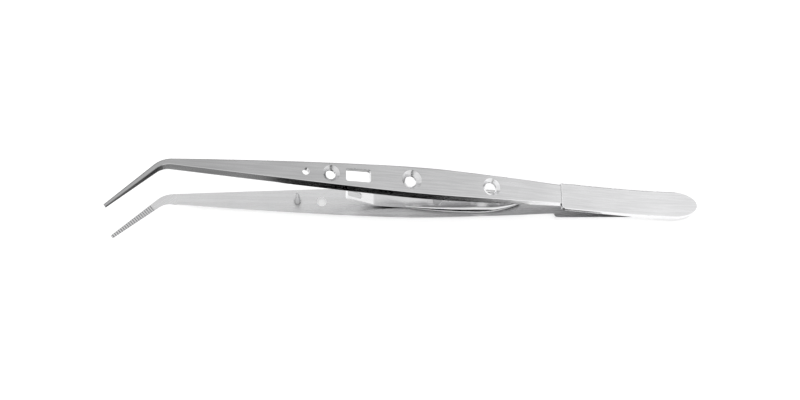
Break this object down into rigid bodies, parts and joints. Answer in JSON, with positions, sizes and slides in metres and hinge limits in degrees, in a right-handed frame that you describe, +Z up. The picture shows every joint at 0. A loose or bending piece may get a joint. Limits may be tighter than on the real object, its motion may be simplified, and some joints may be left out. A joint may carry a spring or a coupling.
{
  "type": "locking tissue forceps",
  "caption": "Angled tissue forceps of two sprung steel arms welded at the butt, with ribbed bent beaks, grip holes, a guide pin and a leaf catch that enters a window.",
  "frame": {"origin": "on the resting surface, under the middle of the bounding box", "axes": "+X from the beaks to the butt along the forceps, +Y across the arms, away from the side that the beaks bend to, +Z up, from the lower arm to the upper arm"},
  "size_m": [0.1492, 0.0152, 0.0301],
  "materials": {
    "arm_steel": "fine lengthwise brushed satin",
    "catch_steel": "satin, rounded edges",
    "pin_steel": "satin turned"
  },
  "bodies": {
    "lower": {"lower_arm": "arm_steel", "guide_pin": "pin_steel", "catch_spring": "catch_steel", "catch_rivet": "pin_steel"},
    "upper": {"upper_arm": "arm_steel"}
  },
  "joints": [
    {"name": "squeeze", "type": "hinge", "parent": "lower", "child": "upper", "pos_m": [0.05717, 0.0035, 0.0031], "axis": [0, -1, 0], "range_deg": [0, 10.3], "stiffness_Nm_per_rad": 2}
  ]
}
